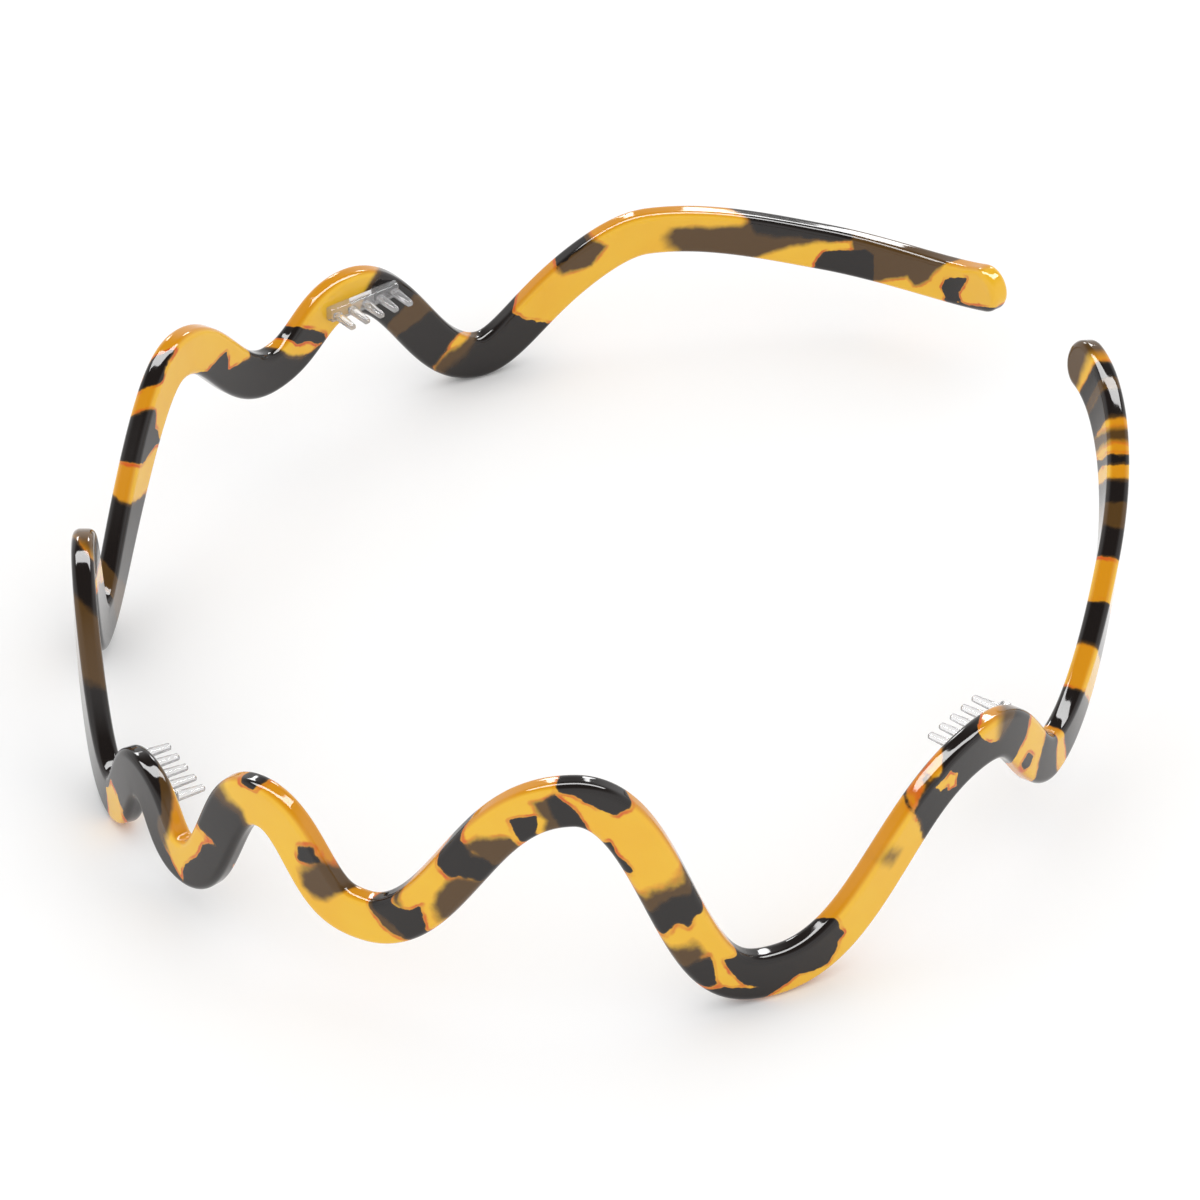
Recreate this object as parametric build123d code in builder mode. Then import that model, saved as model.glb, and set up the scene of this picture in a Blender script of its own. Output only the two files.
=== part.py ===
from build123d import *
import math
import os

os.makedirs("parts", exist_ok=True)

# Driving dimensions, mm. The hoop lies on its side with the head opening upright.
STRIP_WIDTH = 6.3
STRIP_THICKNESS = 2.8
EDGE_RADIUS = 0.9

# Plan of the hoop as tangent arcs from tip A to tip B: (length, radius).
HOOP_ARCS = [
    (24.5, 26),
    (60, 112),
    (70, 80),
    (70, 64),
    (70, 56),
    (60, 88),
    (22.3, 34),
]
HOOP_LENGTH = sum(length for length, radius in HOOP_ARCS)
CROWN_STATION = 198

# Wave of the strip's centre line. Each crest or trough is
# (station along the plan, height above the lowest trough, steepness, skew),
# where steepness and skew shape the flank that follows it.
WAVE = [
    (48.5, 14.4, -0.15, -0.2),
    (72.5, 0.0, 0.1, 0.0),
    (92.7, 16.8, 0.2, 0.05),
    (106.3, 10.8, 0.1, 0.05),
    (125.5, 23.2, -0.1, 0.05),
    (152.7, 1.0, 0.45, -0.05),
    (165.7, 19.4, 0.05, 0.05),
    (187.1, 0.0, 0.35, -0.05),
    (197.1, 9.2, 0.3, 0.0),
    (206.1, 2.8, 0.3, 0.0),
    (220.3, 19.2, 0.3, 0.2),
    (234.7, 8.4, 0.15, 0.1),
    (259.5, 29.6, 0.3, 0.25),
    (284.7, 0.0, 0.15, 0.05),
    (315.3, 18.4, 0.15, -0.25),
    (333.9, 5.6, 0.0, 0.0),
]
TIP_A_HEIGHT = 10.2
TIP_A_SLOPE = -0.4
TIP_B_HEIGHT = 34.3
TIP_B_SLOPE = 0.05
TIP_B_LEAN = 0.21
SECTIONS_PER_WAVE = 8
SECTIONS_PER_ARM = 12

# Combs: five teeth on a straight spine, seated on the inner face of the strip.
COMB_TEETH = 5
TOOTH_PITCH = 2.3
TOOTH_WIDTH = 1.2
TOOTH_HEIGHT = 1.0
TOOTH_LENGTH = 3.7
SPINE_LENGTH = 11.2
SPINE_HEIGHT = 2.0
SPINE_DEPTH = 1.3
SPINE_RADIUS = 0.4
SEAT_DEPTH = 0.5
COMBS = {
    "comb_side_a": (91.6, 16.0),
    "comb_crown": (195.6, 7.3),
    "comb_side_b": (319.2, 17.3),
}


def walk(station):
    """Plan position and heading at a station, counted from tip A with a zero start heading."""
    x = y = heading = 0.0
    left = station
    for length, radius in HOOP_ARCS:
        step = min(length, left)
        turn = step / radius
        x += radius * (math.sin(heading + turn) - math.sin(heading))
        y += radius * (math.cos(heading) - math.cos(heading + turn))
        heading += turn
        left -= step
    return x, y, heading


def plan(station, inward=0.0):
    """Plan point turned so that the crown runs along +X, moved inward from the centre line."""
    crown_x, crown_y, crown_heading = walk(CROWN_STATION)
    x, y, heading = walk(station)
    dx = x - crown_x
    dy = y - crown_y
    angle = heading - crown_heading
    px = dx * math.cos(crown_heading) + dy * math.sin(crown_heading)
    py = dy * math.cos(crown_heading) - dx * math.sin(crown_heading)
    return px - inward * math.sin(angle), py + inward * math.cos(angle), angle


def arm(share, start, end, start_slope, end_slope):
    """Smooth rise from one height to another with given slopes at the ends."""
    cubed = share**3
    squared = share**2
    return (
        (2 * cubed - 3 * squared + 1) * start
        + (cubed - 2 * squared + share) * start_slope
        + (3 * squared - 2 * cubed) * end
        + (cubed - squared) * end_slope
    )


def height(station):
    """Height of the strip's centre line above the floor."""
    first, first_height = WAVE[0][:2]
    last, last_height = WAVE[-1][:2]
    if station <= first:
        rise = arm(station / first, TIP_A_HEIGHT, first_height, TIP_A_SLOPE * first, 0)
        return STRIP_WIDTH / 2 + rise
    if station >= last:
        reach = HOOP_LENGTH - last
        share = (station - last) / reach
        rise = arm(share, last_height, TIP_B_HEIGHT, 0, TIP_B_SLOPE * reach)
        return STRIP_WIDTH / 2 + rise
    for (start, low, steepness, skew), (end, high, _, _) in zip(WAVE, WAVE[1:]):
        if station <= end:
            share = (station - start) / (end - start)
            share -= steepness * math.sin(2 * math.pi * share) / (2 * math.pi)
            share += skew * math.sin(math.pi * (station - start) / (end - start)) / math.pi
            middle = STRIP_WIDTH / 2 + (low + high) / 2
            return middle + (low - high) / 2 * math.cos(math.pi * share)


def strip_plane(station):
    """Section plane with local X inward, local Y across the strip and local Z along it."""
    x, y, angle = plan(station)
    step = 0.01
    before = max(station - step, 0)
    after = min(station + step, HOOP_LENGTH)
    slope = (height(after) - height(before)) / (after - before)
    along = Vector(math.cos(angle), math.sin(angle), slope).normalized()
    inward = Vector(-math.sin(angle), math.cos(angle), 0)
    last_trough = WAVE[-1][0]
    lean = TIP_B_LEAN * max(station - last_trough, 0) / (HOOP_LENGTH - last_trough)
    tilted = inward * math.cos(lean) + along.cross(inward) * math.sin(lean)
    return Plane(origin=(x, y, height(station)), x_dir=tilted, z_dir=along)


def share_out(start, end, count):
    """Stations from start up to, but not including, end."""
    return [start + (end - start) * i / count for i in range(count)]


stations = share_out(0, WAVE[0][0], SECTIONS_PER_ARM)
for crest, next_crest in zip(WAVE, WAVE[1:]):
    stations += share_out(crest[0], next_crest[0], SECTIONS_PER_WAVE)
stations += share_out(WAVE[-1][0], HOOP_LENGTH, SECTIONS_PER_ARM) + [HOOP_LENGTH]

with BuildPart() as band:
    for station in stations:
        with BuildSketch(strip_plane(station)):
            RectangleRounded(STRIP_THICKNESS, STRIP_WIDTH, EDGE_RADIUS)
    loft()
    for station, turn in ((0, -1), (HOOP_LENGTH, 1)):
        tip = strip_plane(station)
        with BuildSketch(tip):
            RectangleRounded(STRIP_THICKNESS, STRIP_WIDTH, EDGE_RADIUS)
            with Locations((0, -STRIP_WIDTH / 2)):
                Rectangle(STRIP_THICKNESS, STRIP_WIDTH, mode=Mode.SUBTRACT)
        revolve(axis=Axis(tip.origin, tip.x_dir * turn), revolution_arc=180)

bounds = band.part.bounding_box()
to_origin = Location((-bounds.center().X, -bounds.center().Y, -bounds.min.Z))
band.part.label = "hoop_band"
export_step(band.part.moved(to_origin), "parts/hoop_band.step")


def comb_plane(station, level):
    """Plane on the inner face: local X along the hoop, local Y inward, local Z up."""
    x, y, angle = plan(station, STRIP_THICKNESS / 2)
    return Plane(
        origin=(x, y, STRIP_WIDTH / 2 + level),
        x_dir=(math.cos(angle), math.sin(angle), 0),
        z_dir=(0, 0, 1),
    )


for comb_name, (station, level) in COMBS.items():
    with BuildPart() as comb:
        with Locations(comb_plane(station, level)):
            with Locations((0, (SPINE_DEPTH - SEAT_DEPTH) / 2, 0)):
                Box(SPINE_LENGTH, SPINE_DEPTH + SEAT_DEPTH, SPINE_HEIGHT)
        fillet(comb.edges().filter_by(Axis.Z), SPINE_RADIUS)
        with Locations(comb_plane(station, level)):
            with GridLocations(TOOTH_PITCH, 0, COMB_TEETH, 1):
                with Locations((0, SPINE_DEPTH + TOOTH_LENGTH / 2 - TOOTH_WIDTH / 4, 0)):
                    Box(TOOTH_WIDTH, TOOTH_LENGTH - TOOTH_WIDTH / 2, TOOTH_HEIGHT)
                with Locations((0, SPINE_DEPTH + TOOTH_LENGTH - TOOTH_WIDTH / 2, 0)):
                    Cylinder(TOOTH_WIDTH / 2, TOOTH_HEIGHT)
        add(band.part, mode=Mode.SUBTRACT)
    comb.part.label = comb_name
    export_step(comb.part.moved(to_origin), f"parts/{comb_name}.step")
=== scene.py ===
import math

import bmesh
import bpy
import numpy as np
from mathutils import Matrix, Vector


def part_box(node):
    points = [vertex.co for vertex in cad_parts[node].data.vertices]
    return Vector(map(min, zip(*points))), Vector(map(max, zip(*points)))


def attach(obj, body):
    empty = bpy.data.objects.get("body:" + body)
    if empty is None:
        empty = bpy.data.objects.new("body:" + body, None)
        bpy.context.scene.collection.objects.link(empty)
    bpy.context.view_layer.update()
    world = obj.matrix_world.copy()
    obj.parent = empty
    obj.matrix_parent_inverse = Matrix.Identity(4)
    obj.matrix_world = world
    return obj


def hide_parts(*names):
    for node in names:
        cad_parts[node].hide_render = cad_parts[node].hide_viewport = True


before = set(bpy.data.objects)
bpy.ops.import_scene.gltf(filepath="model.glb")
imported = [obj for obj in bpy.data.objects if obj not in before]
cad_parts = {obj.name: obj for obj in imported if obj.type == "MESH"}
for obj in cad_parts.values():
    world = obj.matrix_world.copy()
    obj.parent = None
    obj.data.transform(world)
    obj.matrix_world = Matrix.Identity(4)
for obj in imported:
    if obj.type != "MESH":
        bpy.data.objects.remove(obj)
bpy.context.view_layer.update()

MM = 0.001

# The hoop's strip, as in the CAD, in mm.
STRIP_WIDTH = 6.3
STRIP_THICKNESS = 2.8
EDGE_RADIUS = 0.9
HOOP_ARCS = [(24.5, 26), (60, 112), (70, 80), (70, 64), (70, 56), (60, 88), (22.3, 34)]
HOOP_LENGTH = sum(length for length, radius in HOOP_ARCS)
CROWN_STATION = 198
# Crests and troughs: (station, height above the lowest trough, steepness and skew of the flank after).
WAVE = [
    (48.5, 14.4, -0.15, -0.2), (72.5, 0.0, 0.1, 0.0), (92.7, 16.8, 0.2, 0.05),
    (106.3, 10.8, 0.1, 0.05), (125.5, 23.2, -0.1, 0.05), (152.7, 1.0, 0.45, -0.05),
    (165.7, 19.4, 0.05, 0.05), (187.1, 0.0, 0.35, -0.05), (197.1, 9.2, 0.3, 0.0),
    (206.1, 2.8, 0.3, 0.0), (220.3, 19.2, 0.3, 0.2), (234.7, 8.4, 0.15, 0.1),
    (259.5, 29.6, 0.3, 0.25), (284.7, 0.0, 0.15, 0.05), (315.3, 18.4, 0.15, -0.25),
    (333.9, 5.6, 0.0, 0.0),
]
TIP_A_HEIGHT, TIP_A_SLOPE = 10.2, -0.4
TIP_B_HEIGHT, TIP_B_SLOPE = 34.3, 0.05
TIP_B_LEAN = 0.21

# Combs: (station, height of the spine's middle above the lowest trough).
COMBS = {"comb_side_a": (91.6, 16.0), "comb_crown": (195.6, 7.3), "comb_side_b": (319.2, 17.3)}
COMB_TEETH = 5
TOOTH_PITCH = 2.3
TOOTH_WIDTH = 1.2
TOOTH_LENGTH = 3.7
SPINE_DEPTH = 1.3
SPINE_HEIGHT = 2.0
SPINE_LENGTH = 11.2
TOOTH_HEIGHT = 1.0
TOOTH_TAPER = 0.72
TOOTH_ROOT = 0.25
SPINE_TAPER = 0.96
SPINE_CLEARANCE = 0.02
COMB_ROUNDING = 0.25

# Fineness of the swept mesh.
SWEEP_STEPS = 1524
TIP_STEPS = 20
CORNER_STEPS, FACE_STEPS, TOP_STEPS = 8, 10, 2

# Blotches in the sheet. Each is an edge blur in mm and its corners in order: (station in mm, place across
# the strip from -1 at the bottom edge to 1 at the top), with a third number where that side has its own blur.
SHARP = 0.14
DARK = [
    (SHARP, [(1.8, 0.55), (4.5, 0.45), (6.3, 0.25), (7.0, -0.2), (6.4, -0.65), (5.0, -0.8), (3.9, -0.6),
         (4.2, -0.2), (3.0, 0.1), (2.4, 0.3)]),
    (SHARP, [(-4.0, -0.72), (3.0, -0.74), (6.6, -0.7), (6.6, -1.3), (-4.0, -1.3)]),
    (0.2, [(17.6, 0.5, 0.5), (19.0, 0.65), (21.2, 0.4), (22.6, 0.3), (24.6, 0.0), (25.2, -0.6),
         (24.6, -1.3), (17.0, -1.3), (17.2, -0.3)]),
    (0.3, [(20.8, 1.3), (34.8, 1.3), (35.5, 0.7, 0.8), (34.2, 0.2, 1.2), (31.5, 0.2, 1.0),
         (28.0, 0.45, 0.4), (25.0, 0.6), (21.0, 0.88)]),
    (SHARP, [(55.3, 1.3), (60.3, 1.3), (60.0, 0.92), (55.6, 0.92)]),
    (SHARP, [(66.5, 1.3), (65.8, 0.7), (66.0, 0.4), (65.5, 0.0), (64.8, -0.6), (64.4, -1.3),
         (77.9, -1.3, 1.2), (77.0, -0.4, 1.6), (76.2, 0.2, 1.6), (75.0, 1.3)]),
    (0.3, [(78.8, 1.3), (78.4, -1.3), (83.6, -1.3, 0.5), (82.8, 1.3)]),
    (0.5, [(84.8, 1.3), (85.1, -1.3), (92.0, -1.3, 0.9), (90.8, 0.0, 0.9), (89.6, 1.3)]),
    (SHARP, [(100.0, 1.3), (101.7, 1.3), (101.5, 0.6), (100.4, 0.0), (99.8, -0.6), (99.2, -0.9),
         (98.8, -0.5), (99.2, 0.2), (99.6, 0.8)]),
    (SHARP, [(105.6, 1.3, 0.8), (103.8, 0.4, 0.8), (101.9, -0.3, 0.4), (99.2, -0.85), (99.0, -1.3),
         (122.0, -1.3), (120.5, -0.85), (118.8, -0.7), (117.8, -0.1), (117.0, 0.35), (116.2, 0.1),
         (115.4, -0.15), (114.4, 0.2, 0.3), (113.2, 0.7, 0.4), (112.4, 1.3)]),
    (0.2, [(125.8, 1.3), (130.3, 1.3), (129.6, 0.82), (128.6, 0.9), (126.4, 0.95)]),
    (SHARP, [(132.3, 1.3, 0.3), (132.4, 0.5, 0.3), (133.6, 0.1), (134.2, -0.5), (134.6, -0.95),
         (135.0, -0.5), (136.0, 0.1), (136.9, 0.5), (137.2, 1.3)]),
    (0.4, [(140.9, 1.3), (139.6, -0.2), (139.0, -1.3), (147.0, -1.3), (147.6, 1.3)]),
    (0.5, [(150.8, 1.3), (150.2, -1.3), (159.6, -1.3, SHARP), (157.5, 1.3)]),
    (0.3, [(158.9, 1.3), (161.1, -1.3), (163.4, -1.3), (161.2, 1.3)]),
    (0.4, [(166.7, 1.3), (167.0, -1.3), (171.2, -1.3, 0.8), (171.6, 1.3)]),
    (0.8, [(176.4, 1.3), (176.6, -1.3), (187.4, -1.3, SHARP), (187.6, 0.5, SHARP), (191.2, 0.6, SHARP),
         (190.9, -1.3, 0.3), (206.0, -1.3, SHARP), (207.2, -0.85, SHARP), (206.0, -0.4, SHARP),
         (205.0, -0.1, 0.3), (203.5, 0.05, 0.4), (202.2, 0.1, 0.5), (201.2, 0.6, 0.3),
         (200.8, 1.3, 0.3)]),
    (SHARP, [(205.6, -1.3), (207.0, -0.7), (207.4, -0.2), (208.3, 0.12), (210.0, 0.28), (212.0, 0.2),
         (212.7, -0.1), (213.1, -0.6), (213.1, -1.3)]),
    (SHARP, [(213.1, 1.3), (213.1, -1.3), (216.4, -1.3, 1.0), (217.2, -0.4, 1.0), (216.0, 0.3, 0.9),
         (216.2, 1.3)]),
    (SHARP, [(218.7, 1.3), (220.4, 1.3), (220.1, 0.84), (219.0, 0.88)]),
    (0.2, [(225.8, 0.9), (226.9, 0.95), (226.9, 0.4), (226.3, 0.05), (225.6, 0.4)]),
    (SHARP, [(235.4, 1.3, 0.6), (237.0, 0.6, 0.7), (238.4, -0.2, 0.4), (238.9, -1.3), (240.1, -1.3),
         (240.6, -0.8), (241.3, -0.3), (242.1, 0.1), (241.0, 0.2), (240.4, 0.5), (239.6, 1.3)]),
    (SHARP, [(246.3, 1.3), (245.9, 0.5), (245.8, 0.1), (246.4, -0.1), (246.5, -0.4), (246.8, -0.8),
         (247.2, -1.3), (248.6, -1.3, 0.4), (248.7, -0.5, 0.4), (248.4, 0.1, 0.3), (248.6, 0.6),
         (249.0, 1.3)]),
    (SHARP, [(252.6, 0.22), (252.0, -0.5), (251.8, -1.3), (253.4, -1.3, 0.3), (253.9, -0.7),
         (254.7, -0.4), (254.9, -0.1), (253.8, 0.08)]),
    (SHARP, [(256.6, 0.5, 0.4), (257.6, 0.7), (258.4, 0.3), (259.6, -0.2), (261.0, -0.6), (263.0, -0.95),
         (263.0, -1.3), (257.4, -1.3, 0.8), (256.8, -0.4, 0.6)]),
    (SHARP, [(257.4, 1.3), (258.0, 0.78), (259.4, 0.6), (260.4, 0.35), (262.0, 0.2), (263.4, 0.25),
         (263.8, 0.7), (264.0, 1.3)]),
    (SHARP, [(265.2, -0.72), (266.4, -0.78), (267.8, -0.7), (268.0, -1.3), (265.0, -1.3)]),
    (SHARP, [(270.4, 1.3, 0.4), (270.2, 0.0, 0.4), (270.6, -1.3), (272.4, -1.3), (272.0, -0.6),
         (271.6, -0.25), (272.2, 0.1), (271.9, 0.6), (272.0, 1.3)]),
    (SHARP, [(274.8, 0.22, 0.3), (274.6, -0.2, 0.4), (274.5, -1.3), (276.2, -1.3), (276.8, -0.85),
         (277.4, -0.45), (276.2, -0.15), (275.4, 0.05)]),
    (SHARP, [(277.2, 1.3), (276.7, 0.8), (275.9, 0.45), (277.4, 0.15), (279.2, -0.05), (281.6, -0.33),
         (279.2, -0.38), (278.0, -0.45), (277.4, -0.75), (276.9, -1.3), (282.0, -1.3), (283.0, -0.75),
         (284.8, -0.5), (286.5, -0.2), (288.0, -0.35), (289.8, -0.5), (291.0, -0.3), (291.9, 0.05),
         (292.7, 0.1), (292.9, 0.5), (293.4, 0.9), (293.8, 1.3)]),
    (SHARP, [(304.6, 1.3, 0.3), (304.2, 0.3, 0.5), (303.3, -0.6, 0.5), (303.2, -1.3), (324.0, -1.3),
         (323.5, -0.5), (323.8, 0.0), (323.5, 0.5), (322.6, 1.3), (320.3, 1.3, 0.9), (319.3, 0.4, 0.9),
         (318.0, -0.05), (316.4, 0.1), (314.8, 0.5), (313.4, 1.3)]),
    (SHARP, [(325.8, -0.3), (327.0, -0.2), (327.2, -0.6), (326.6, -0.9), (325.6, -0.8)]),
    (0.3, [(327.0, 1.3), (328.4, 0.0), (329.8, -1.3), (334.0, -1.3), (332.6, 0.2), (331.2, 1.3)]),
    (0.3, [(334.8, 1.3), (336.0, -1.3), (342.6, -1.3), (341.6, 1.3)]),
    (0.2, [(347.2, 1.3, 0.5), (346.2, -1.3), (350.0, -1.3), (351.4, 1.3)]),
    (0.2, [(355.5, 1.3), (354.7, -1.3), (357.4, -1.3, 0.5), (358.2, 1.3)]),
    (0.4, [(360.0, 1.3), (360.4, -1.3), (362.4, -1.3), (362.0, 1.3)]),
    (0.2, [(363.6, 1.3), (364.0, -1.3), (364.8, -1.3), (364.4, 1.3)]),
    (0.5, [(368.2, 1.3), (367.4, -1.3), (370.2, -1.3), (371.2, 1.3)]),
    (0.4, [(372.2, 1.3), (371.6, -1.3), (374.2, -1.3), (374.0, 1.3)]),
]
# Brown translucent parts, where the dark layer is thin or deep.
SMOKE = [
    (0.35, [(5.4, 1.3), (7.0, 0.7), (8.4, 0.35), (9.0, 0.0), (10.2, -0.35), (11.3, -0.5), (12.3, -0.1),
         (13.7, -0.3), (15.4, -0.55), (17.4, -0.95), (18.5, -1.3), (22.0, 1.3)]),
    (0.5, [(20.8, 1.3), (34.8, 1.3), (36.5, 0.6), (40.0, 0.4), (45.5, 0.3, 1.0), (46.6, -0.1, 1.2),
         (46.0, -0.6, 1.0), (44.0, -1.0), (40.0, -1.3), (34.4, -1.3), (33.8, -1.0), (31.0, -0.4),
         (28.0, 0.1), (25.0, 0.52), (21.0, 0.86)]),
    (0.35, [(55.2, 1.3), (54.2, 0.4), (55.4, 0.2), (56.9, 0.0), (58.4, 0.25), (59.8, 0.6), (60.3, 1.3)]),
    (0.4, [(74.0, 1.3), (74.0, -1.3), (78.4, -1.3), (78.0, 0.0), (76.9, 0.8), (76.6, 1.3)]),
    (0.5, [(82.0, 1.3), (82.0, -1.3), (86.0, -1.3), (86.0, 1.3)]),
    (0.8, [(112.0, 1.3), (106.0, -0.5), (102.6, -0.2), (104.6, 0.7), (106.0, 1.3)]),
    (0.6, [(147.0, 1.3), (146.0, -1.3), (151.2, -1.3), (151.0, 1.3)]),
    (1.4, [(161.6, 1.3), (163.2, -1.3), (166.8, -1.3), (166.6, 1.3)]),
    (0.5, [(170.8, 1.3), (170.8, -1.3), (177.5, -1.3), (177.0, 1.3)]),
    (0.5, [(200.0, 1.3), (202.6, 1.3), (203.0, 0.4), (204.6, 0.1), (201.0, -0.2)]),
    (0.7, [(215.0, 1.3), (217.0, 1.3), (216.8, 0.3), (217.9, -0.3), (217.2, -1.3), (215.0, -1.3)]),
    (0.5, [(226.2, 1.3), (230.6, 1.3), (230.2, 0.6), (230.0, 0.0), (229.2, -0.35), (228.2, -0.5),
         (227.2, -0.3), (226.8, 0.2)]),
    (SHARP, [(234.4, 1.3), (236.0, 0.85), (237.0, 0.3), (237.8, -0.3), (238.6, -0.8), (238.8, -1.3),
         (240.0, -1.3), (240.0, 1.3)]),
    (0.4, [(239.6, 1.3), (241.6, 1.3), (241.2, 0.8), (240.6, 0.4)]),
    (0.5, [(242.2, -0.9), (243.0, -0.2), (244.0, 0.05), (245.4, 0.1), (246.2, -0.1), (246.8, -0.6),
         (247.4, -1.3), (242.0, -1.3)]),
    (0.4, [(248.2, 0.7), (249.6, 0.45), (250.4, 0.0), (251.3, -0.4, SHARP), (251.2, -0.9, SHARP),
         (250.9, -1.3), (248.0, -1.3)]),
    (0.4, [(255.4, 0.55), (257.2, 0.5), (257.4, -1.3), (253.4, -1.3), (255.0, -0.8), (256.0, -0.4),
         (255.4, 0.1)]),
    (0.4, [(269.4, 1.3), (269.6, 0.0), (269.6, -1.3), (271.0, -1.3), (271.0, 1.3)]),
    (0.5, [(273.6, 0.0), (274.8, 0.2), (274.8, -1.3), (272.8, -1.3)]),
    (0.9, [(300.0, 0.8), (301.0, 0.75), (301.0, 0.2), (300.2, 0.2)]),
    (1.2, [(317.4, 1.3), (321.0, 1.3), (320.0, 0.0), (317.8, -0.1)]),
    (0.5, [(357.6, 1.3), (357.2, -1.3), (361.0, -1.3), (361.0, 1.3)]),
    (0.4, [(365.6, 1.3), (366.0, -1.3), (367.6, -1.3), (366.8, 1.3)]),
    (0.6, [(370.8, 1.3), (370.0, -1.3), (373.0, -1.3), (373.0, 1.3)]),
    (0.8, [(375.6, 1.3), (375.2, -1.3), (384.0, -1.3), (384.0, 1.3)]),
]
# Amber islands inside the dark.
ISLANDS = [
    (SHARP, [(306.9, 0.78), (308.4, 0.58), (309.6, 0.7), (310.5, 0.1), (309.5, -0.45), (308.0, -0.2),
         (308.2, 0.02), (307.3, 0.15)]),
    (0.3, [(304.0, 1.3), (309.4, 1.3), (308.6, 0.86), (306.8, 0.94), (304.4, 0.8)]),
]


def walk(station):
    x = y = heading = 0.0
    left = station
    for length, radius in HOOP_ARCS:
        step = min(length, left)
        turn = step / radius
        x += radius * (math.sin(heading + turn) - math.sin(heading))
        y += radius * (math.cos(heading) - math.cos(heading + turn))
        heading += turn
        left -= step
    return x, y, heading


CROWN = walk(CROWN_STATION)


def plan(station):
    """Plan point and heading, in mm, with the crown running along +X."""
    x, y, heading = walk(station)
    dx, dy = x - CROWN[0], y - CROWN[1]
    cos, sin = math.cos(CROWN[2]), math.sin(CROWN[2])
    return dx * cos + dy * sin, dy * cos - dx * sin, heading - CROWN[2]


def arm(share, start, end, start_slope, end_slope):
    cubed, squared = share**3, share**2
    return (
        (2 * cubed - 3 * squared + 1) * start
        + (cubed - 2 * squared + share) * start_slope
        + (3 * squared - 2 * cubed) * end
        + (cubed - squared) * end_slope
    )


def height(station):
    first, first_height = WAVE[0][:2]
    last, last_height = WAVE[-1][:2]
    if station <= first:
        return STRIP_WIDTH / 2 + arm(station / first, TIP_A_HEIGHT, first_height, TIP_A_SLOPE * first, 0)
    if station >= last:
        reach = HOOP_LENGTH - last
        share = (station - last) / reach
        return STRIP_WIDTH / 2 + arm(share, last_height, TIP_B_HEIGHT, 0, TIP_B_SLOPE * reach)
    for (start, low, steepness, skew), (end, high, _, _) in zip(WAVE, WAVE[1:]):
        if station <= end:
            share = (station - start) / (end - start)
            bent = share - steepness * math.sin(2 * math.pi * share) / (2 * math.pi)
            bent += skew * math.sin(math.pi * share) / math.pi
            return STRIP_WIDTH / 2 + (low + high) / 2 + (low - high) / 2 * math.cos(math.pi * bent)


def strip_frame(station):
    """Centre, direction, inward normal and across direction of the strip, in mm."""
    x, y, angle = plan(station)
    step = 0.01
    before, after = max(station - step, 0), min(station + step, HOOP_LENGTH)
    slope = (height(after) - height(before)) / (after - before)
    centre = np.array([x, y, height(station)])
    along = np.array([math.cos(angle), math.sin(angle), slope])
    along /= np.linalg.norm(along)
    level = np.array([-math.sin(angle), math.cos(angle), 0.0])
    upright = np.cross(along, level)
    last_trough = WAVE[-1][0]
    lean = TIP_B_LEAN * max(station - last_trough, 0) / (HOOP_LENGTH - last_trough)
    inward = level * math.cos(lean) + upright * math.sin(lean)
    across = upright * math.cos(lean) - level * math.sin(lean)
    return centre, along, inward, across


def profile():
    """Rounded rectangle from the top's middle round the inner side, as (inward, across), in mm."""
    half_width, half_depth = STRIP_WIDTH / 2, STRIP_THICKNESS / 2
    radius = EDGE_RADIUS
    quarter = []
    for i in range(TOP_STEPS):
        quarter.append(((half_depth - radius) * i / TOP_STEPS, half_width))
    for i in range(CORNER_STEPS):
        angle = math.pi / 2 * (1 - i / CORNER_STEPS)
        quarter.append((
            half_depth - radius + radius * math.cos(angle),
            half_width - radius + radius * math.sin(angle),
        ))
    for i in range(FACE_STEPS + 1):
        quarter.append((half_depth, (half_width - radius) * (1 - i / FACE_STEPS)))
    inner = quarter + [(n, -w) for n, w in reversed(quarter[:-1])]
    return inner + [(-n, w) for n, w in reversed(inner[1:-1])]


def blotch_distance(station, across, blotch):
    """Distance into a blotch in mm (positive inside) and the blur of its nearest side."""
    blur, corners = blotch
    half = STRIP_WIDTH / 2
    x, y = station, across * half
    nearest = np.full(len(x), 1e9)
    edge = np.full(len(x), blur)
    inside = np.zeros(len(x), bool)
    for first, second in zip(corners, corners[1:] + corners[:1]):
        ax, ay, bx, by = first[0], first[1] * half, second[0], second[1] * half
        share = ((x - ax) * (bx - ax) + (y - ay) * (by - ay)) / ((bx - ax) ** 2 + (by - ay) ** 2)
        share = np.clip(share, 0, 1)
        away = np.hypot(x - ax - share * (bx - ax), y - ay - share * (by - ay))
        closer = away < nearest
        nearest = np.where(closer, away, nearest)
        edge = np.where(closer, first[2] if len(first) > 2 else blur, edge)
        if ay != by:
            crossing = ax + (y - ay) / (by - ay) * (bx - ax)
            inside ^= ((ay > y) != (by > y)) & (x < crossing)
    return np.where(inside, nearest, -nearest), edge


def depth_into(blotches, station, across):
    """Signed distance into the nearest of several blotches and its edge blur, in mm."""
    margin = 3.0
    depth = np.full(len(station), -margin)
    blur = np.full(len(station), SHARP)
    for blotch in blotches:
        places = [corner[0] for corner in blotch[1]]
        near = (station > min(places) - margin) & (station < max(places) + margin)
        inside, edge = blotch_distance(station[near], across[near], blotch)
        better = inside > depth[near]
        depth[near] = np.where(better, inside, depth[near])
        blur[near] = np.where(better, edge, blur[near])
    return depth, blur


def slanted(station, inward):
    """The station whose pattern shows here: blotches run slanting through the sheet's thickness."""
    half = STRIP_THICKNESS / 2
    from_inner = np.interp(station, [140, 200, 320, 345], [-half, half, half, 0])
    slant = 1.2 * np.cos((station - 199) / 13) * np.interp(station, [322, 336], [1, 0])
    return station + slant * (inward + from_inner)


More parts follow.
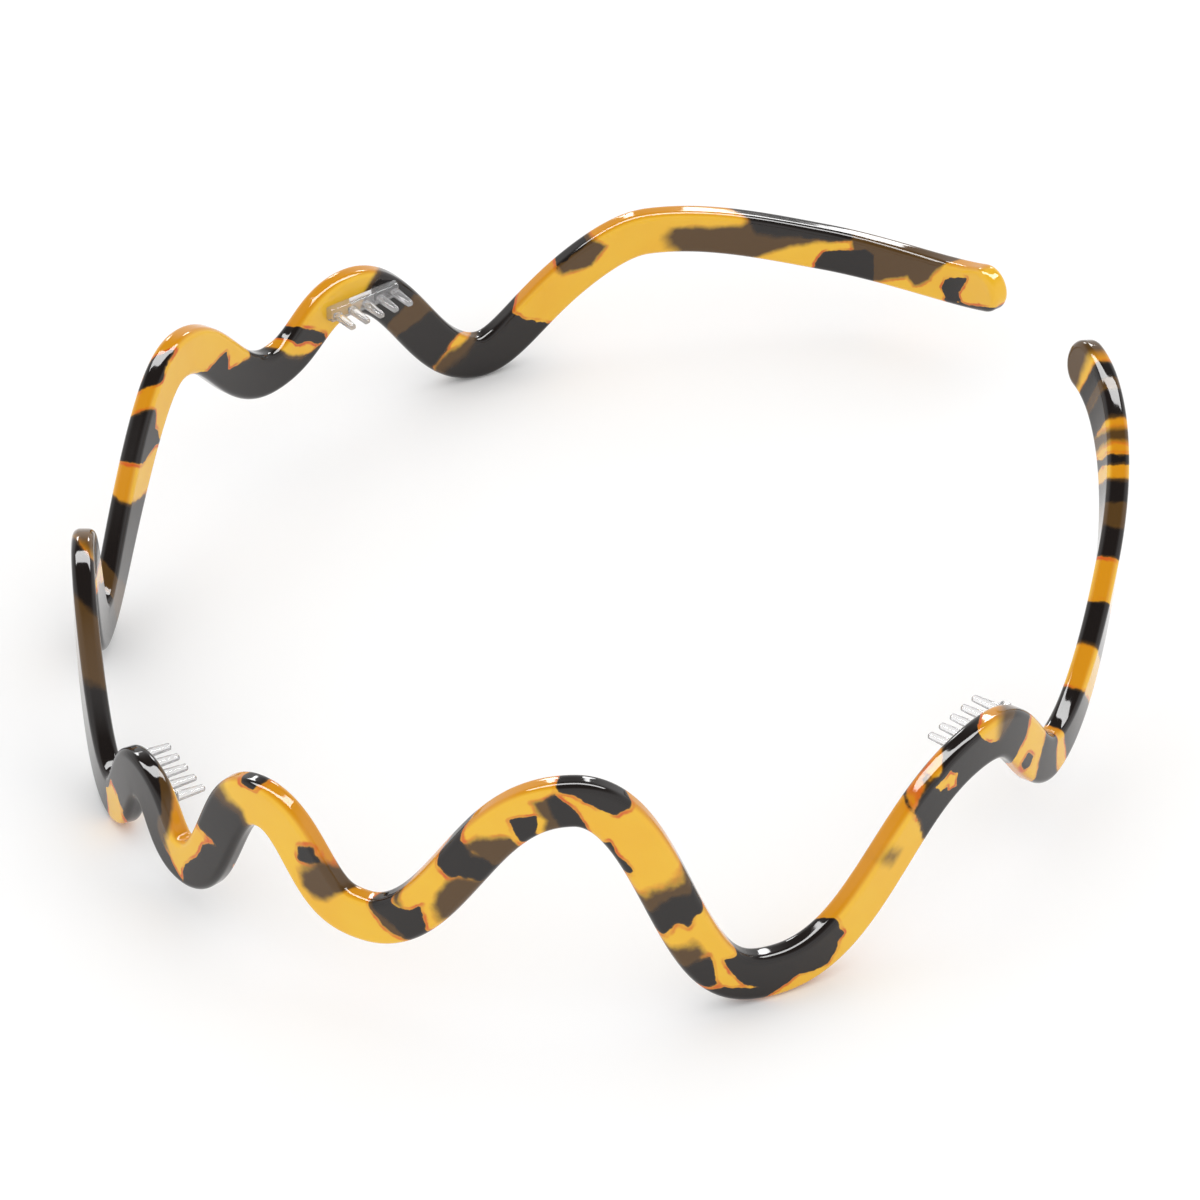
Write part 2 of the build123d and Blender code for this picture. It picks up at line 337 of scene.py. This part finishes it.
def build_band():
    """The strip as a fine swept mesh with rounded tips, carrying its pattern as attributes."""
    ring = profile()
    count = len(ring)
    half = STRIP_WIDTH / 2
    points, stations, acrosses, inwards = [], [], [], []
    for i in range(SWEEP_STEPS + 1):
        station = HOOP_LENGTH * i / SWEEP_STEPS
        centre, along, inward, across = strip_frame(station)
        for n, w in ring:
            points.append(centre + n * inward + w * across)
            stations.append(station)
            acrosses.append(w / half)
            inwards.append(n)
    faces = []
    for i in range(SWEEP_STEPS):
        for j in range(count):
            k = (j + 1) % count
            a, b = i * count, (i + 1) * count
            faces.append((a + j, a + k, b + k, b + j))
    outline = [p for p in ring if p[1] >= -1e-9]
    outline.sort(key=lambda p: -math.atan2(p[1], p[0]) if p[1] > 0 else (-math.pi if p[0] < 0 else 0))
    for station, away in ((0.0, -1), (HOOP_LENGTH, 1)):
        centre, along, inward, across = strip_frame(station)
        base = len(points)
        for i in range(TIP_STEPS + 1):
            angle = math.pi * i / TIP_STEPS
            arm_dir = math.cos(angle) * across + away * math.sin(angle) * along
            for n, w in outline:
                points.append(centre + n * inward + w * arm_dir)
                stations.append(station + away * w * math.sin(angle))
                acrosses.append(w * math.cos(angle) / half)
                inwards.append(n)
        row = len(outline)
        for i in range(TIP_STEPS):
            for j in range(row - 1):
                a = base + i * row + j
                faces.append((a, a + 1, a + row + 1, a + row))
    points = np.array(points) * MM
    mesh = bpy.data.meshes.new("tortoiseshell_band")
    mesh.from_pydata([tuple(p) for p in points], [], faces)
    station_values = slanted(np.array(stations), np.array(inwards))
    across_values = np.array(acrosses)
    dark, dark_blur = depth_into(DARK, station_values, across_values)
    island, island_blur = depth_into(ISLANDS, station_values, across_values)
    dark_blur = np.where(-island < dark, island_blur, dark_blur)
    dark = np.minimum(dark, -island)
    smoke, smoke_blur = depth_into(SMOKE, station_values, across_values)
    smoke = np.where(island > -0.5, -1.0, smoke)
    for name, values in (
        ("dark_depth", dark),
        ("dark_blur", dark_blur),
        ("smoke_depth", smoke),
        ("smoke_blur", smoke_blur),
        ("across", across_values),
    ):
        attribute = mesh.attributes.new(name, "FLOAT", "POINT")
        attribute.data.foreach_set("value", values.astype(np.float32))
    work = bmesh.new()
    work.from_mesh(mesh)
    bmesh.ops.remove_doubles(work, verts=work.verts, dist=2e-6)
    bmesh.ops.recalc_face_normals(work, faces=work.faces)
    work.to_mesh(mesh)
    work.free()
    for polygon in mesh.polygons:
        polygon.use_smooth = True
    band = bpy.data.objects.new("tortoiseshell_band", mesh)
    bpy.context.scene.collection.objects.link(band)
    corners = np.array([v.co for v in mesh.vertices])
    low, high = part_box("hoop_band")
    shift = (np.array(low) + np.array(high)) / 2 - (corners.min(0) + corners.max(0)) / 2
    mesh.transform(Matrix.Translation(Vector(shift)))
    return band, Vector(shift)


def new_material(name):
    material = bpy.data.materials.new(name)
    material.use_nodes = True
    return material, material.node_tree.nodes, material.node_tree.links


def math_node(nodes, links, operation, first, second=None, third=None):
    node = nodes.new("ShaderNodeMath")
    node.operation = operation
    for socket, value in zip(node.inputs, (first, second, third)):
        if value is None:
            continue
        if isinstance(value, (int, float)):
            socket.default_value = value
        else:
            links.new(value, socket)
    return node.outputs[0]


def mix_colour(nodes, links, factor, first, second):
    node = nodes.new("ShaderNodeMix")
    node.data_type = "RGBA"
    links.new(factor, node.inputs["Factor"])
    for key, value in (("A", first), ("B", second)):
        socket = [s for s in node.inputs if s.name == key and s.type == "RGBA"][0]
        if isinstance(value, tuple):
            socket.default_value = (*value, 1)
        else:
            links.new(value, socket)
    return [s for s in node.outputs if s.type == "RGBA"][0]


def noise(nodes, links, vector, scale, detail=2.0, roughness=0.5):
    node = nodes.new("ShaderNodeTexNoise")
    node.inputs["Scale"].default_value = scale
    node.inputs["Detail"].default_value = detail
    node.inputs["Roughness"].default_value = roughness
    links.new(vector, node.inputs["Vector"])
    return node.outputs[0]


HONEY = (0.82, 0.51, 0.034)
DEEP_HONEY = (0.78, 0.39, 0.018)
RIM_ORANGE = (0.64, 0.26, 0.006)
FRINGE = (0.60, 0.10, 0.012)
BROWN = (0.085, 0.042, 0.010)
BLACK_BROWN = (0.010, 0.007, 0.006)


def smooth_range(nodes, links, value, start, end):
    """0 at start, 1 at end, smooth between."""
    node = nodes.new("ShaderNodeMapRange")
    node.interpolation_type = "SMOOTHSTEP"
    node.inputs["From Min"].default_value = start
    node.inputs["From Max"].default_value = end
    links.new(value, node.inputs["Value"])
    return node.outputs[0]


def tortoiseshell():
    """Honey acetate with dark blotches, sharp orange fringes and smoky edges."""
    material, nodes, links = new_material("tortoiseshell_acetate")
    shader = nodes["Principled BSDF"]
    place = nodes.new("ShaderNodeTexCoord").outputs["Object"]
    fields = {}
    for name in ("dark_depth", "dark_blur", "smoke_depth", "smoke_blur", "across"):
        node = nodes.new("ShaderNodeAttribute")
        node.attribute_name = name
        fields[name] = node.outputs["Fac"]
    broad = noise(nodes, links, place, 260, 1.0)
    fine = noise(nodes, links, place, 900, 2.0)
    wander = math_node(nodes, links, "MULTIPLY_ADD", broad, 0.8, -0.4)
    ripple = math_node(nodes, links, "MULTIPLY_ADD", fine, 0.5, -0.25)
    wander = math_node(nodes, links, "ADD", wander, ripple)
    strength = smooth_range(nodes, links, noise(nodes, links, place, 330, 1.0), 0.30, 0.62)
    masks, fringes = {}, {}
    for name in ("dark", "smoke"):
        depth = math_node(nodes, links, "ADD", fields[name + "_depth"], wander)
        share = math_node(nodes, links, "DIVIDE", depth, fields[name + "_blur"])
        masks[name] = smooth_range(nodes, links, share, -1.0, 1.0)
        line = math_node(nodes, links, "ABSOLUTE", math_node(nodes, links, "ADD", depth, 0.22))
        line = smooth_range(nodes, links, line, 0.30, 0.04)
        crisp = smooth_range(nodes, links, fields[name + "_blur"], 0.6, 0.2)
        fringes[name] = math_node(nodes, links, "MULTIPLY", line, crisp)
        fringes[name] = math_node(nodes, links, "MULTIPLY", fringes[name], strength)
    amber = mix_colour(nodes, links, noise(nodes, links, place, 120, 2.0), HONEY, DEEP_HONEY)
    rim = math_node(nodes, links, "ABSOLUTE", fields["across"])
    amber = mix_colour(nodes, links, smooth_range(nodes, links, rim, 0.86, 1.0), amber, RIM_ORANGE)
    colour = mix_colour(nodes, links, fringes["smoke"], amber, FRINGE)
    colour = mix_colour(nodes, links, masks["smoke"], colour, BROWN)
    clear = math_node(nodes, links, "SUBTRACT", 1.0, masks["smoke"])
    dark_fringe = math_node(nodes, links, "MULTIPLY", fringes["dark"], clear)
    colour = mix_colour(nodes, links, dark_fringe, colour, FRINGE)
    brown_first = smooth_range(nodes, links, masks["dark"], 0.0, 0.5)
    colour = mix_colour(nodes, links, brown_first, colour, BROWN)
    black_after = smooth_range(nodes, links, masks["dark"], 0.35, 1.0)
    colour = mix_colour(nodes, links, black_after, colour, BLACK_BROWN)
    links.new(colour, shader.inputs["Base Color"])
    shader.inputs["Roughness"].default_value = 0.07
    shader.inputs["IOR"].default_value = 1.49
    shader.inputs["Sheen Weight"].default_value = 0.25
    shader.inputs["Sheen Roughness"].default_value = 0.2
    polish = nodes.new("ShaderNodeBump")
    polish.inputs["Strength"].default_value = 0.05
    polish.inputs["Distance"].default_value = 0.0002
    links.new(noise(nodes, links, place, 500, 1.0), polish.inputs["Height"])
    links.new(polish.outputs[0], shader.inputs["Normal"])
    return material


def clear_plastic():
    """Clear moulded plastic with faint moulding ripples."""
    material, nodes, links = new_material("clear_comb_plastic")
    shader = nodes["Principled BSDF"]
    shader.inputs["Base Color"].default_value = (0.97, 0.97, 0.98, 1)
    shader.inputs["Transmission Weight"].default_value = 0.85
    shader.inputs["IOR"].default_value = 1.47
    place = nodes.new("ShaderNodeTexCoord").outputs["Object"]
    rough = nodes.new("ShaderNodeMapRange")
    rough.inputs["To Min"].default_value = 0.02
    rough.inputs["To Max"].default_value = 0.08
    links.new(noise(nodes, links, place, 700), rough.inputs["Value"])
    links.new(rough.outputs[0], shader.inputs["Roughness"])
    bump = nodes.new("ShaderNodeBump")
    bump.inputs["Strength"].default_value = 0.15
    bump.inputs["Distance"].default_value = 0.0002
    links.new(noise(nodes, links, place, 600), bump.inputs["Height"])
    links.new(bump.outputs[0], shader.inputs["Normal"])
    return material


def add_block(work, corners_low, corners_high, taper):
    """A box from low to high, its far end in +Y narrowed by taper."""
    made = []
    for y, scale in ((corners_low[1], 1.0), (corners_high[1], taper)):
        for x_side, z_side in ((0, 0), (1, 0), (1, 1), (0, 1)):
            x = (corners_low[0], corners_high[0])[x_side]
            z = (corners_low[2], corners_high[2])[z_side]
            mid_x = (corners_low[0] + corners_high[0]) / 2
            mid_z = (corners_low[2] + corners_high[2]) / 2
            made.append(work.verts.new((mid_x + (x - mid_x) * scale, y, mid_z + (z - mid_z) * scale)))
    for face in ((0, 1, 2, 3), (7, 6, 5, 4), (0, 4, 5, 1), (1, 5, 6, 2), (2, 6, 7, 3), (3, 7, 4, 0)):
        work.faces.new([made[i] for i in face])


def build_comb(name, station, level, shift, material):
    """A clear comb: rounded spine with straight rounded teeth, on the strip's inner face."""
    work = bmesh.new()
    half_spine = SPINE_LENGTH / 2
    half_height = SPINE_HEIGHT / 2
    add_block(
        work,
        (-half_spine, SPINE_CLEARANCE, -half_height),
        (half_spine, SPINE_DEPTH, half_height),
        SPINE_TAPER,
    )
    for i in range(COMB_TEETH):
        middle = (i - (COMB_TEETH - 1) / 2) * TOOTH_PITCH
        add_block(
            work,
            (middle - TOOTH_WIDTH / 2, SPINE_DEPTH - TOOTH_ROOT, -TOOTH_HEIGHT / 2),
            (middle + TOOTH_WIDTH / 2, SPINE_DEPTH + TOOTH_LENGTH, TOOTH_HEIGHT / 2),
            TOOTH_TAPER,
        )
    mesh = bpy.data.meshes.new(name + "_clear")
    bmesh.ops.recalc_face_normals(work, faces=work.faces)
    work.to_mesh(mesh)
    work.free()
    comb = bpy.data.objects.new(name + "_clear", mesh)
    bpy.context.scene.collection.objects.link(comb)
    mesh.transform(Matrix.Scale(MM, 4))
    bevel = comb.modifiers.new("rounding", "BEVEL")
    bevel.width = COMB_ROUNDING * MM
    bevel.segments = 4
    bevel.limit_method = "ANGLE"
    x, y, angle = plan(station)
    inner = STRIP_THICKNESS / 2
    seat = (x - inner * math.sin(angle), y + inner * math.cos(angle), STRIP_WIDTH / 2 + level)
    base = Vector(seat) * MM
    comb.matrix_world = Matrix.Translation(base + shift) @ Matrix.Rotation(angle, 4, "Z")
    for polygon in mesh.polygons:
        polygon.use_smooth = True
    mesh.materials.append(material)
    return comb


band, shift = build_band()
band.data.materials.append(tortoiseshell())
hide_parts("hoop_band")
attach(band, "root")

comb_material = clear_plastic()
for comb_name, (comb_station, comb_level) in COMBS.items():
    comb = build_comb(comb_name, comb_station, comb_level, shift, comb_material)
    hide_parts(comb_name)
    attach(comb, "root")

# Floor.
floor_mesh = bpy.data.meshes.new("studio_floor")
FLOOR_REACH = 6.0
floor_corners = [(x * FLOOR_REACH, y * FLOOR_REACH, 0) for x, y in ((-1, -1), (1, -1), (1, 1), (-1, 1))]
floor_mesh.from_pydata(floor_corners, [], [(0, 1, 2, 3)])
floor = bpy.data.objects.new("studio_floor", floor_mesh)
bpy.context.scene.collection.objects.link(floor)
floor_material = new_material("white_paper")[0]
floor_shader = floor_material.node_tree.nodes["Principled BSDF"]
floor_shader.inputs["Base Color"].default_value = (0.93, 0.93, 0.93, 1)
floor_shader.inputs["Roughness"].default_value = 0.75
floor_shader.inputs["Specular IOR Level"].default_value = 0.2
floor.data.materials.append(floor_material)

# Light: an even white room. Reflections see it white at the horizon and dark overhead.
world = bpy.data.worlds.new("studio")
bpy.context.scene.world = world
world.use_nodes = True
world_nodes, world_links = world.node_tree.nodes, world.node_tree.links
background = world_nodes["Background"]
background.inputs["Color"].default_value = (1, 1, 1, 1)
sky = world_nodes.new("ShaderNodeTexCoord").outputs["Generated"]
split = world_nodes.new("ShaderNodeSeparateXYZ")
world_links.new(sky, split.inputs[0])
ceiling = world_nodes.new("ShaderNodeMapRange")
ceiling.interpolation_type = "SMOOTHSTEP"
ceiling.inputs["From Min"].default_value = 0.35
ceiling.inputs["From Max"].default_value = 0.8
ceiling.inputs["To Min"].default_value = 1.0
ceiling.inputs["To Max"].default_value = 0.12
world_links.new(split.outputs[2], ceiling.inputs["Value"])
rays = world_nodes.new("ShaderNodeLightPath")
room = world_nodes.new("ShaderNodeMapRange")
room.inputs["To Min"].default_value = 1.13
world_links.new(rays.outputs["Is Glossy Ray"], room.inputs["Value"])
world_links.new(ceiling.outputs[0], room.inputs["To Max"])
world_links.new(room.outputs[0], background.inputs["Strength"])


VIEW_AZIMUTH = math.radians(58.12)
away = Vector((-math.sin(VIEW_AZIMUTH), math.cos(VIEW_AZIMUTH), 0))
aside = Vector((math.cos(VIEW_AZIMUTH), math.sin(VIEW_AZIMUTH), 0))


def light_panel(name, start, end, width, power):
    """A panel that shows in the gloss only, from start to end.

    Both are (away from the camera, to its right, height), in metres.
    """
    ends = [away * p[0] + aside * p[1] + Vector((0, 0, p[2])) for p in (start, end)]
    middle, run = (ends[0] + ends[1]) / 2, (ends[1] - ends[0])
    light = bpy.data.lights.new(name, "AREA")
    light.shape = "RECTANGLE"
    light.size, light.size_y = run.length, width
    light.energy = power
    lamp = bpy.data.objects.new(name, light)
    lamp.location = middle
    across = run.normalized()
    face = (-middle - across * (-middle).dot(across)).normalized()
    side = (-face).cross(across)
    turn = Matrix((across, side, -face)).transposed()
    lamp.rotation_euler = turn.to_euler()
    lamp.visible_diffuse = False
    lamp.visible_transmission = False
    bpy.context.scene.collection.objects.link(lamp)


light_panel("panel_across", (0.35, -1.2, 1.4), (0.35, 1.2, 1.4), 0.55, 58)
light_panel("panel_left", (1.4, -0.45, 0.7), (2.6, -0.75, 2.0), 0.35, 30)
light_panel("panel_right", (1.4, 0.35, 0.7), (2.6, 0.60, 2.0), 0.35, 30)

# Camera at the photograph's angle.
VIEW_DOWN = math.radians(36.5)
CAMERA_DISTANCE = 0.8019
CAMERA_ROLL = math.radians(0.65)
LENS = 188.26
SENSOR = 36.0
AIM = Vector((-0.0121, 0.0014, 0.0))
camera_data = bpy.data.cameras.new("photo_camera")
camera_data.lens = LENS
camera_data.sensor_width = SENSOR
camera = bpy.data.objects.new("photo_camera", camera_data)
forward = Vector((
    -math.sin(VIEW_AZIMUTH) * math.cos(VIEW_DOWN),
    math.cos(VIEW_AZIMUTH) * math.cos(VIEW_DOWN),
    -math.sin(VIEW_DOWN),
))
camera.location = AIM - forward * CAMERA_DISTANCE
facing = forward.to_track_quat("-Z", "Y").to_matrix().to_4x4()
camera.rotation_euler = (facing @ Matrix.Rotation(CAMERA_ROLL, 4, "Z")).to_euler()
bpy.context.scene.collection.objects.link(camera)
bpy.context.scene.camera = camera

bpy.context.scene.view_settings.view_transform = "Standard"
